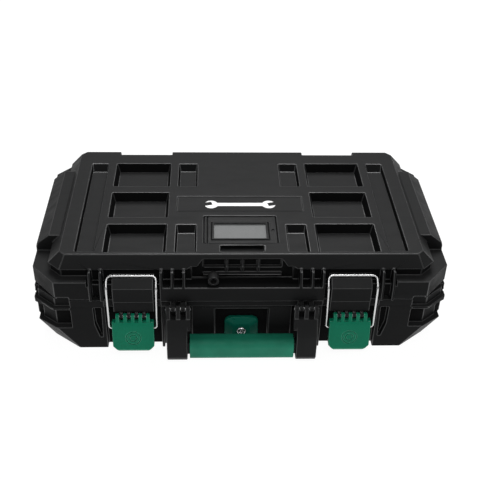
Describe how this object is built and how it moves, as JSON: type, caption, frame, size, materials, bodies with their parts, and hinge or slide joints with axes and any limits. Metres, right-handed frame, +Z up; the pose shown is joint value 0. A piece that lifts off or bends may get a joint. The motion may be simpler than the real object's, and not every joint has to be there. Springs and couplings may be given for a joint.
{
  "type": "socket wrench set in case",
  "caption": "Moulded carrying case with wire draw latches, folding handle and hinged lid over a tray of sockets, a ratchet and extension bars.",
  "frame": {"origin": "centre of the bottom rest face", "axes": "+X to the right along the case's length, -Y towards the handle and latches, +Z up out of the lid"},
  "size_m": [0.453, 0.286, 0.12],
  "materials": {
    "case_black": "satin",
    "handle_black": "matte",
    "green_plastic": "satin",
    "green_grip": "matte",
    "bright_wire": "polished",
    "steel_pin": "satin",
    "polished_steel": "polished",
    "seal_rubber": "matte",
    "grey_foam": "matte",
    "tray_foam": "matte",
    "badge_white": "matte",
    "label_grey": "matte",
    "clear_window": "gloss",
    "socket_chrome": "satin",
    "grip_rubber": "matte",
    "gear_steel": "satin"
  },
  "bodies": {
    "base": {"base_shell": "case_black", "tool_tray": "tray_foam", "hinge_pin_left": "steel_pin", "hinge_pin_right": "steel_pin", "latch_pin_left": "steel_pin", "latch_pin_right": "steel_pin", "handle_pin_left": "steel_pin", "handle_pin_right": "steel_pin", "socket_10": "socket_chrome", "socket_11": "socket_chrome", "socket_12": "socket_chrome", "socket_13": "socket_chrome", "socket_14": "socket_chrome", "socket_15": "socket_chrome", "socket_16": "socket_chrome", "socket_17": "socket_chrome", "socket_18": "socket_chrome", "socket_19": "socket_chrome", "socket_21": "socket_chrome", "socket_22": "socket_chrome", "socket_24": "socket_chrome", "socket_27": "socket_chrome", "socket_30": "socket_chrome", "socket_32": "socket_chrome", "spark_plug_socket": "socket_chrome", "spark_plug_insert": "seal_rubber", "extension_long": "socket_chrome", "extension_short": "socket_chrome", "extension_balls": "polished_steel", "ratchet_body": "socket_chrome", "ratchet_cover": "polished_steel", "ratchet_screws": "steel_pin", "ratchet_grip": "grip_rubber"},
    "lid": {"lid_shell": "case_black", "lid_seal": "seal_rubber", "lid_foam": "grey_foam", "vent_plug": "case_black", "label_frame": "case_black", "label_card": "label_grey", "label_window": "clear_window", "lid_badge": "badge_white"},
    "handle": {"handle_frame": "handle_black", "handle_grip": "green_grip"},
    "latch_left": {"latch_lever_left": "green_plastic"},
    "latch_right": {"latch_lever_right": "green_plastic"},
    "bail_left": {"latch_bail_left": "bright_wire"},
    "bail_right": {"latch_bail_right": "bright_wire"},
    "knob": {"purge_knob": "green_plastic", "purge_screw": "polished_steel"},
    "drive": {"ratchet_gear": "gear_steel", "drive_ball": "polished_steel"},
    "button": {"release_button": "polished_steel"},
    "reverser": {"reversing_lever": "polished_steel"},
    "pawl": {"ratchet_pawl": "gear_steel"}
  },
  "joints": [
    {"name": "lid_hinge", "type": "hinge", "parent": "base", "child": "lid", "pos_m": [0, 0.131, 0.071], "axis": [-1, 0, 0], "range_deg": [0, 100]},
    {"name": "handle_swing", "type": "hinge", "parent": "base", "child": "handle", "pos_m": [0, -0.135, 0.0678], "axis": [-1, 0, 0], "range_deg": [0, 95]},
    {"name": "latch_left_turn", "type": "hinge", "parent": "base", "child": "latch_left", "pos_m": [-0.118, -0.129, 0.053], "axis": [-1, 0, 0], "range_deg": [0, 120]},
    {"name": "bail_left_swing", "type": "hinge", "parent": "latch_left", "child": "bail_left", "pos_m": [-0.118, -0.131, 0.038], "axis": [1, 0, 0], "range_deg": [0, 120]},
    {"name": "latch_right_turn", "type": "hinge", "parent": "base", "child": "latch_right", "pos_m": [0.118, -0.129, 0.053], "axis": [-1, 0, 0], "range_deg": [0, 120]},
    {"name": "bail_right_swing", "type": "hinge", "parent": "latch_right", "child": "bail_right", "pos_m": [0.118, -0.131, 0.038], "axis": [1, 0, 0], "range_deg": [0, 120]},
    {"name": "knob_turn", "type": "hinge", "parent": "base", "child": "knob", "pos_m": [0, -0.117, 0.0245], "axis": [0, -1, 0], "range_deg": [0, 180]},
    {"name": "drive_spin", "type": "hinge", "parent": "base", "child": "drive", "pos_m": [-0.165, 0.015, 0.046], "axis": [0, 0, 1], "continuous": true},
    {"name": "button_press", "type": "slide", "parent": "drive", "child": "button", "axis": [0, 0, -1], "range_m": [0, 0.0016], "stiffness_N_per_m": 300, "springref_m": -0.002},
    {"name": "reverser_turn", "type": "hinge", "parent": "base", "child": "reverser", "pos_m": [-0.1445, 0.015, 0.058], "axis": [0, 0, 1], "range_deg": [-40, 0]},
    {"name": "pawl_rock", "type": "hinge", "parent": "base", "child": "pawl", "pos_m": [-0.1445, 0.015, 0.046], "axis": [0, 0, 1], "range_deg": [-10, 0]}
  ],
  "couplings": [
    {"joint": "bail_left_swing", "follows": "latch_left_turn", "ratio": 1},
    {"joint": "bail_right_swing", "follows": "latch_right_turn", "ratio": 1},
    {"joint": "pawl_rock", "follows": "reverser_turn", "ratio": 0.25}
  ]
}
